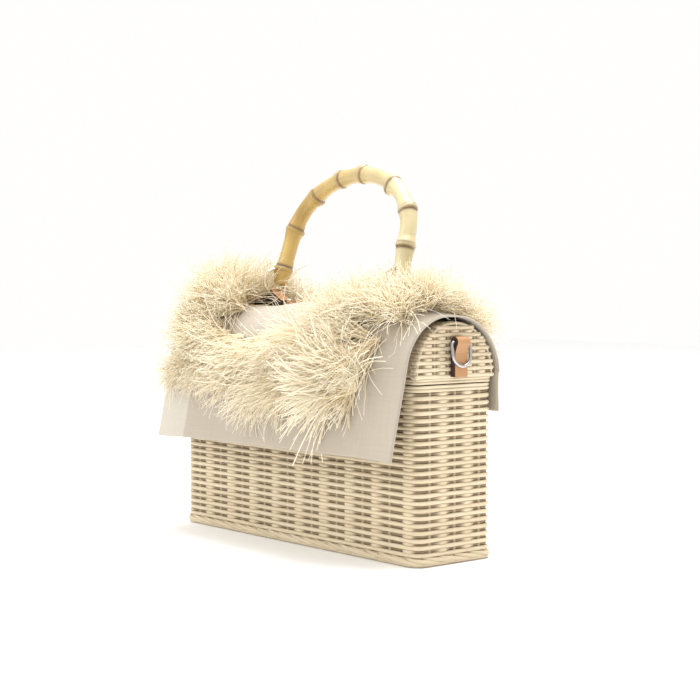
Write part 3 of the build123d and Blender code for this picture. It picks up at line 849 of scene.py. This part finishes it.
def arch_reeds(side):
    """Reeds along the arch that hold the ends of the rows, sunk between them."""
    lines = []
    foot = np.linspace(lid_foot, spring_height, 4)[:-1]
    angle = np.linspace(0, math.pi, 40)
    for radius, inset in ((half_depth - 1.6 * MM, 2.1 * MM), (half_depth - 1.2 * MM, 4.2 * MM)):
        y = np.concatenate([np.full(3, radius), radius * np.cos(angle), np.full(3, -radius)])
        z = np.concatenate([foot, spring_height + radius * np.sin(angle), foot[::-1]])
        x = np.full(len(y), side * (half_length - inset))
        # A low tone and some painted shade darken the arch reeds, as in shadow under the cover's
        # edge.
        lines.append((np.column_stack([x, y, z]), 1.0 * MM, 0.35, False, 0.2))
    return lines


for side, word in ((-1, "left"), (1, "right")):
    arch = lines_piece("arch_reed_" + word, arch_reeds(side), thick_reed)
    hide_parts("lid_end_border_" + word)
    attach(arch, "lid")


# Hinge loops of split reed


def loop_winding():
    """Three turns of split reed at each of the three places on the back."""
    centre_y = half_depth - 2.3 * MM
    low = body_rim_height
    high = rim_high[2] - 2.3 * MM
    reach = 2.95 * MM
    angles = np.linspace(0, math.pi, 9)
    top = [(centre_y + reach * math.cos(a), high + reach * math.sin(a)) for a in angles]
    bottom = [(centre_y - reach * math.cos(a), low - reach * math.sin(a)) for a in angles]
    loop = np.array(top + bottom)
    lines = []
    for middle in loop_middles():
        for turn in (-2.3 * MM, 0.0, 2.3 * MM):
            line = np.column_stack([np.full(len(loop), middle + turn), loop])
            lines.append((line, 1.15 * MM, random.uniform(0.3, 1), True, 0.0))
    return lines


loops = lines_piece("hinge_windings", loop_winding(), thick_reed, flatness=0.35)
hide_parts("hinge_loops")
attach(loops, "basket")


# Linen cover: one stiff sheet over the lid, standing off the basket in front. It is flat
# on the crown, goes down in an arc and ends in a slant; batten and padding lift the crown.

COVER_FLAT = 8.0 * MM
FRONT_RADIUS = 39.0 * MM
FRONT_SLANT = math.radians(12.0)
front_turn = math.pi / 2 - FRONT_SLANT
COVER_RISE = 4.5 * MM
PUFF = 3.4 * MM
HEM_DROP = 3.0 * MM
# Below this distance down the front the cloth hangs free and ripples
FREE_FROM = 30.0 * MM
cover_back = cover_high[1]
cover_end_crown = cover_high[2] - COVER_RISE
front_centre = cover_end_crown - FRONT_RADIUS
rise_reach = half_length + 2 * MM
batten_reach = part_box("crown_batten")[1][0] + 2 * MM


def rise_at(x):
    """How far the batten lifts the crown."""
    ramp = (rise_reach - np.abs(x)) / (rise_reach - batten_reach)
    return COVER_RISE * eased(np.clip(ramp, 0, 1))


def puff_at(x, distance):
    """How far the padding under the linen lifts it between the two handle tabs."""
    along = np.clip(1.25 - abs(x) / (44 * MM), 0, 1)
    over = np.clip(1.2 - abs(distance - 2 * MM) / (40 * MM), 0, 1)
    return PUFF * eased(along) * eased(over)


def cover_profile(distance, x, offset=0.0):
    """(y, z) and outward direction of the cover, by distance from the crown's front edge:
    positive down the front, negative over the back."""
    rise = rise_at(x)
    offset = offset + puff_at(x, distance)
    if -COVER_FLAT < distance < 0:
        return (-COVER_FLAT - distance, cover_end_crown + rise + offset), (0.0, 1.0)
    if distance < 0:
        turn = min((-distance - COVER_FLAT) / cover_back, math.pi / 2)
        y = (cover_back + offset) * math.sin(turn)
        z = cover_end_crown - cover_back + (cover_back + rise + offset) * math.cos(turn)
        return (y, z), (math.sin(turn), math.cos(turn))
    turn = min(distance / FRONT_RADIUS, front_turn)
    extra = max(distance - FRONT_RADIUS * front_turn, 0.0)
    y = -COVER_FLAT - (FRONT_RADIUS + offset) * math.sin(turn) - extra * math.cos(turn)
    z = front_centre + (FRONT_RADIUS + rise + offset) * math.cos(turn) - extra * math.sin(turn)
    return (y, z), (-math.sin(turn), math.cos(turn))


fall = front_centre + FRONT_RADIUS * math.cos(front_turn) - cover_low[2]
hem_distance = FRONT_RADIUS * front_turn + HEM_DROP + fall / math.sin(front_turn)
back_distance = -COVER_FLAT - cover_back * math.pi / 2


def cloth(name, vertices, columns_across, thickness):
    """A cloth of a real thickness from rows of corners, so many to the row."""
    faces = []
    for first in range(0, len(vertices) - columns_across, columns_across):
        for a in range(first, first + columns_across - 1):
            faces.append((a, a + 1, a + columns_across + 1, a + columns_across))
    piece = faces_piece(name, vertices, faces, linen, smooth=True)
    solid = piece.modifiers.new("thickness", "SOLIDIFY")
    solid.thickness = thickness
    solid.offset = 0.0
    apply_modifiers(piece)
    return piece


def linen_cover():
    """The cover's cloth, with ripples that grow towards its hem and a slant to the hem."""
    reach = cover_high[0] - 0.3 * MM
    across = np.linspace(-reach, reach, 120)
    vertices = []
    for distance in np.linspace(back_distance, hem_distance, 110):
        front = max(0.0, distance - FREE_FROM) / (hem_distance - FREE_FROM)
        for x in across:
            (y, z), (ny, nz) = cover_profile(distance, x, -0.7 * MM)
            waves = math.sin(x * 34 + 0.6) + 0.6 * math.sin(x * 71 + 2.0)
            waves += 0.35 * math.sin(x * 150)
            end = max(0.0, abs(x) / reach - 0.82) / 0.18
            lift = 0.6 * MM * front * waves
            lift += 0.5 * MM * math.sin(distance * 60 + x * 9) * end
            slant = 1.2 * MM * front * (x / reach)
            vertices.append((x, y + ny * lift, z + nz * lift + slant))
    return cloth("linen_cover", vertices, len(across), 1.1 * MM)


cover_cloth = linen_cover()
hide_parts("cover")
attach(cover_cloth, "lid")
float(hem_distance - back_distance)


STRIP_ABOVE_SKIRT = 13.5 * MM


def hinge_cloth():
    """The strip that goes on from the cover over the hinge, down to its hem on the wall."""
    reach = cover_high[0] - 0.5 * MM
    across = np.linspace(-reach, reach, 90)
    vertices = []
    for z in np.linspace(skirt_low[2], skirt_high[2] + STRIP_ABOVE_SKIRT, 34):
        for x in across:
            slack = 0.25 * MM * math.sin(x * 50 + z * 200)
            vertices.append((x, cover_back - 1.3 * MM + slack, z))
    return cloth("linen_hinge_strip", vertices, len(across), 0.9 * MM)


strip = hinge_cloth()
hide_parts("cover_back_skirt")
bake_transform(strip)


# Raffia fringe: locks of fine strands, sewn in rows


def pushed_out(points, clear):
    """Moves points that would be inside the cover to just above its surface."""
    ny, nz = -math.cos(FRONT_SLANT), math.sin(FRONT_SLANT)
    for point in points:
        x, y, z = point
        if abs(x) > cover_high[0]:
            continue
        rise = float(rise_at(x))
        if y < -COVER_FLAT:
            dy = y + COVER_FLAT
            dz = z - front_centre
            need = FRONT_RADIUS + clear
            if dz > -dy / math.tan(front_turn):
                lift = rise * min(1.0, max(0.0, dz / FRONT_RADIUS))
                reach = math.hypot(dy, dz - lift)
                if 0 < reach < need:
                    point[1] = -COVER_FLAT + dy * need / reach
                    point[2] = front_centre + (dz - lift) * need / reach + lift
            else:
                out = dy * ny + dz * nz
                if out < need and z > cover_low[2]:
                    point[1] += ny * (need - out)
                    point[2] += nz * (need - out)
        elif y <= 0:
            point[2] = max(z, cover_end_crown + rise + clear)
        else:
            dz = z - (cover_end_crown - cover_back)
            lift = rise * min(1.0, max(0.0, dz / cover_back))
            reach = math.hypot(y, dz - lift)
            need = cover_back + clear
            if dz > 0 and 0 < reach < need:
                point[1] = y * need / reach
                point[2] = cover_end_crown - cover_back + (dz - lift) * need / reach + lift
    return points


# How far the fringe reaches: past the ends, in front, behind, and below the hem. Behind
# the first distance it also stays above a height, so that the lid can open.
END_REACH = 156.0 * MM
FRONT_REACH = -85.0 * MM
BACK_REACH = 62.0 * MM
HEM_CLEAR_HEIGHT = cover_low[2] - 9.0 * MM
BACK_CLEAR_FROM = 15.0 * MM
BACK_CLEAR_HEIGHT = 129.0 * MM


def kept_in(line):
    """Shortens a strand that would reach further out or down than the real fringe does,
    or would be caught against the basket's back when the lid opens."""
    root, tip = line[0], line[-1]
    share = 1.0
    for axis, limit in ((0, -END_REACH), (0, END_REACH), (1, FRONT_REACH), (1, BACK_REACH)):
        if tip[axis] / limit > max(1.0, root[axis] / limit):
            share = min(share, (limit - root[axis]) / (tip[axis] - root[axis]))
    lowest = line[:, 2].min()
    if root[2] > HEM_CLEAR_HEIGHT > lowest:
        share = min(share, (root[2] - HEM_CLEAR_HEIGHT) / (root[2] - lowest))
    behind = line[line[:, 1] > BACK_CLEAR_FROM]
    if len(behind) and root[2] > BACK_CLEAR_HEIGHT > behind[:, 2].min():
        share = min(share, (root[2] - BACK_CLEAR_HEIGHT) / (root[2] - behind[:, 2].min()))
    return root + (line - root) * share


DROOP = 0.12
SEGMENTS = 6


def strand(rng, root, direction, length, curl):
    """One raffia strand from its root: it falls a little, and curls most near its tip."""
    share = np.linspace(0, 1, SEGMENTS + 1)
    direction = direction / np.linalg.norm(direction)
    side = np.cross(direction, rng.normal(size=3))
    side /= np.linalg.norm(side)
    other = np.cross(direction, side)
    line = root + np.outer(share * length, direction)
    line[:, 2] -= DROOP * length * share**2
    bend = rng.normal() * curl * length
    bend_two = rng.normal() * curl * length
    line += np.outer(bend * share**2, side) + np.outer(bend_two * share**3, other)
    wobble = rng.uniform(0, 0.035) * length
    line += np.outer(wobble * np.sin(share * rng.uniform(5, 12)), side)
    return kept_in(line)


DENSITY = 1.0


@dataclass
class Mass:
    """Locks scattered over a stretch of the cover: x from, to, and distance from the
    crown's front edge, from, to, and the length, all in millimetres. aim is along X, down
    the cover and outwards. fan turns the locks outwards from the middle."""

    x: tuple
    distance: tuple
    locks: int
    aim: tuple
    length: float
    strands: int = 46
    spread: float = 0.34
    curl: float = 0.3
    width: float = 0.34
    fan: float = 0.0

    def lines(self, rng):
        """Every strand of the mass."""
        made = []
        left, right = self.x
        middle, half = (left + right) / 2, (right - left) / 2
        for i in range(self.locks):
            x = left + (right - left) * (i + rng.uniform()) / self.locks
            distance = rng.uniform(*self.distance)
            lean = self.fan * (x - middle) / half + rng.normal() * 0.2
            aim = (self.aim[0] + lean, self.aim[1] + rng.normal() * 0.12, self.aim[2])
            length = self.length * MM * rng.uniform(0.85, 1.12)
            tone = rng.uniform(0.35, 0.85)
            made += self.lock(rng, x * MM, distance * MM, aim, length, tone)
        return made

    def lock(self, rng, x, distance, aim, length, tone):
        """Strands from one place on the cover, each with its own lean, length and tone."""
        (y, z), (ny, nz) = cover_profile(distance, x, 0.8 * MM)
        outward = np.array((0.0, ny, nz))
        down = np.array((0.0, -nz, ny))
        middle = np.array((aim[0], 0.0, 0.0)) + aim[1] * down + aim[2] * outward
        middle /= np.linalg.norm(middle)
        lines = []
        for _ in range(max(3, int(self.strands * DENSITY))):
            direction = middle + rng.normal(size=3) * self.spread
            reach = length * rng.uniform(0.6, 1.05)
            root = np.array((x, y, z)) + rng.normal(size=3) * (1.5 * MM, 0.6 * MM, 0.6 * MM)
            line = strand(rng, root, direction, reach, self.curl)
            line = pushed_out(line, rng.uniform(0.5, 3.0) * MM)
            taper = np.linspace(1.0, 0.5, len(line))
            own_tone = float(np.clip(tone + rng.normal() * 0.25, 0, 1))
            widths = self.width * MM * rng.uniform(0.6, 1.25) * taper
            lines.append((line, widths, own_tone, False, 0.0))
        return lines


def fringe(name, node, seed, *masses):
    """One fringe piece, in place of its solid tufts."""
    rng = np.random.default_rng(seed)
    lines = []
    for mass in masses:
        lines += mass.lines(rng)
    piece = lines_piece(name, lines, raffia, sides=3)
    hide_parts(node)
    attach(piece, "lid")


fringe(
    "raffia_left",
    "fringe_left",
    14,
    Mass((-114, -84), (-44, 24), 50, (0.05, 0.0, 0.9), 43, fan=0.4, spread=0.38),
    Mass((-120, -108), (-36, 40), 15, (-0.45, 0.15, 0.7), 21, spread=0.36),
    Mass((-86, -76), (-46, -22), 8, (0.0, -0.3, 0.9), 34, spread=0.36),
)
fringe(
    "raffia_back",
    "fringe_back",
    13,
    Mass((-74, -14), (-50, -28), 22, (0.05, -0.25, 0.9), 33, fan=0.25, spread=0.36),
    Mass((-12, 24), (-56, -38), 8, (0.0, -0.5, 0.5), 18, spread=0.3),
    Mass((28, 96), (-50, -22), 24, (0.0, -0.2, 0.9), 30, spread=0.36),
)
fringe(
    "raffia_right",
    "fringe_right",
    15,
    Mass((74, 116), (-46, 26), 48, (0.05, 0.1, 0.9), 32, fan=0.3, spread=0.42),
    Mass((46, 84), (-6, 34), 24, (-0.3, 0.2, 0.85), 30, spread=0.38),
    Mass((100, 116), (-58, -10), 10, (0.35, -0.2, 0.8), 22, spread=0.4),
)
fringe(
    "raffia_front_upper",
    "fringe_front_upper",
    11,
    Mass((-119, -68), (8, 44), 28, (-0.05, 0.45, 0.7), 30, spread=0.4),
    Mass((-68, 24), (38, 52), 18, (-0.35, 0.7, 0.45), 31, spread=0.28),
    Mass((24, 104), (32, 54), 22, (-0.5, 0.45, 0.6), 35, spread=0.34),
)
# The starburst at the front right: its place, and its thick strands in tight locks
BURST = ((85, 89), (68, 73))
THICK = {"strands": 30, "spread": 0.18, "curl": 0.35, "width": 0.62}
fringe(
    "raffia_front_lower",
    "fringe_front_lower",
    12,
    Mass((-122, -40), (50, 66), 26, (-0.08, 0.7, 0.55), 25, spread=0.38),
    Mass((-40, 44), (50, 74), 18, (-0.45, 0.75, 0.4), 34, spread=0.28),
    Mass((44, 78), (50, 66), 6, (-0.6, 0.6, 0.4), 34, spread=0.28),
    Mass(*BURST, 6, (-0.9, 0.1, 0.4), 54, **THICK),
    Mass(*BURST, 5, (-0.75, -0.6, 0.4), 52, **THICK),
    Mass(*BURST, 4, (-0.3, -0.9, 0.4), 47, **THICK),
    Mass((86, 90), (69, 74), 2, (0.2, -0.9, 0.45), 34, 24, spread=0.22, curl=0.4, width=0.6),
    Mass(*BURST, 4, (-0.8, 0.4, 0.35), 40, 26, spread=0.18, curl=0.35, width=0.6),
    Mass((86, 89), (68, 73), 3, (0.0, 1.0, 0.2), 31, 12, spread=0.16, width=0.55),
)


# Handle: a bamboo root bent into an arch, with a knuckle at each joint

FOOT_SPAN = 68.0 * MM
SHOULDER_SPAN = 65.0 * MM
SHOULDER_HEIGHT = 36.0 * MM
ARCH_RISE = 48.5 * MM
FOOT_START = 1.3 * MM
HANDLE_BACK = 7.0 * MM
HANDLE_LEAN = math.radians(16.0)
HANDLE_HEIGHT = cover_high[2] + 14.0 * MM
HANDLE_RADIUS = 5.75 * MM
HANDLE_SIDES = 28
# Distances up the handle from its left foot: the knuckle with a burl, and from each
# knuckle to the next in millimetres
BURL = 163.7 * MM
KNUCKLE_GAPS = (12.2, 31.0, 32.0, 28.0, 24.5, 36.0, 30.0, 27.0, 21.0)


def handle_path():
    """Points up the left leg, over the arch and down the right leg, evenly spaced."""
    angle = np.linspace(math.pi, 0, 200)
    arch = np.column_stack(
        [SHOULDER_SPAN * np.cos(angle), SHOULDER_HEIGHT + ARCH_RISE * np.sin(angle)]
    )
    flat = np.concatenate([[(-FOOT_SPAN, FOOT_START)], arch, [(FOOT_SPAN, FOOT_START)]])
    steps = np.concatenate([[0], np.cumsum(np.linalg.norm(np.diff(flat, axis=0), axis=1))])
    distance = np.linspace(0, steps[-1], 420)
    x = np.interp(distance, steps, flat[:, 0])
    up = np.interp(distance, steps, flat[:, 1])
    return distance, x, up


def hump(gap, middle, reach):
    """1 at middle and near 0 from twice the reach, both in millimetres."""
    return np.exp(-(((gap - middle * MM) / (reach * MM)) ** 2))


def handle_girth(distance, turn):
    """Radius and scar of the handle: swollen joints, each with a sharp ridge, a brown scar
    and a bump where a rootlet was cut off."""
    rng = np.random.default_rng(5)
    radius = np.full((len(distance), len(turn)), HANDLE_RADIUS)
    radius += 0.12 * MM * np.sin(2 * turn[None, :] + distance[:, None] * 60)
    scar = np.zeros_like(radius)
    for knuckle in np.cumsum(KNUCKLE_GAPS) * MM:
        gap = (distance - knuckle)[:, None]
        swell = rng.uniform(0.85, 1.2)
        radius += 1.0 * MM * swell * hump(gap, 0, 5.5)
        radius += 0.4 * MM * hump(gap, 0, 0.9)
        radius -= 0.45 * MM * hump(gap, 2.0, 0.8)
        facing = np.clip(np.cos(turn - rng.uniform(0, 2 * math.pi)), 0, 1)[None, :]
        if abs(knuckle - BURL) < 1 * MM:
            inner = np.clip(-np.cos(turn), 0, 1)[None, :]
            radius += 1.9 * MM * inner**2 * hump(gap, 2, 3.6)
        radius += 1.1 * MM * swell * facing**3 * hump(gap, -1.5, 3.2)
        scar += 1.1 * hump(gap, 2.0, 1.3) * (0.8 + 0.2 * facing)
        scar += 0.7 * hump(gap, -1.4, 0.9) * (0.35 + 0.65 * facing)
    end = np.minimum(distance, distance[-1] - distance)[:, None]
    radius -= 0.6 * MM * hump(end, 0, 5)
    radius -= 1.6 * MM * hump(end, 0, 0.8)
    return radius, scar


def bamboo_handle():
    """The handle's skin, bent along its path and leaning back."""
    distance, x, up = handle_path()
    turn = 2 * math.pi * np.arange(HANDLE_SIDES) / HANDLE_SIDES
    radius, scar = handle_girth(distance, turn)
    tangent = np.column_stack([np.gradient(x), np.gradient(up)])
    tangent /= np.linalg.norm(tangent, axis=1)[:, None]
    out = radius * np.cos(turn)
    deep = radius * np.sin(turn)
    skin_x = x[:, None] - tangent[:, 1:] * out
    skin_up = up[:, None] + tangent[:, :1] * out
    skin_y = HANDLE_BACK + skin_up * math.sin(HANDLE_LEAN) + deep * math.cos(HANDLE_LEAN)
    skin_z = HANDLE_HEIGHT + skin_up * math.cos(HANDLE_LEAN) - deep * math.sin(HANDLE_LEAN)
    vertices = np.stack([skin_x, skin_y, skin_z], axis=-1).reshape(-1, 3).tolist()
    faces = []
    for first in range(0, len(vertices) - HANDLE_SIDES, HANDLE_SIDES):
        for side in range(HANDLE_SIDES):
            a, b = first + side, first + (side + 1) % HANDLE_SIDES
            faces.append((a, b, b + HANDLE_SIDES, a + HANDLE_SIDES))
    faces.append(tuple(reversed(range(HANDLE_SIDES))))
    faces.append(tuple(range(len(vertices) - HANDLE_SIDES, len(vertices))))
    return faces_piece("bamboo_root_handle", vertices, faces, bamboo, True, ring=scar.ravel())


handle = bamboo_handle()
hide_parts("handle")
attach(handle, "handle")
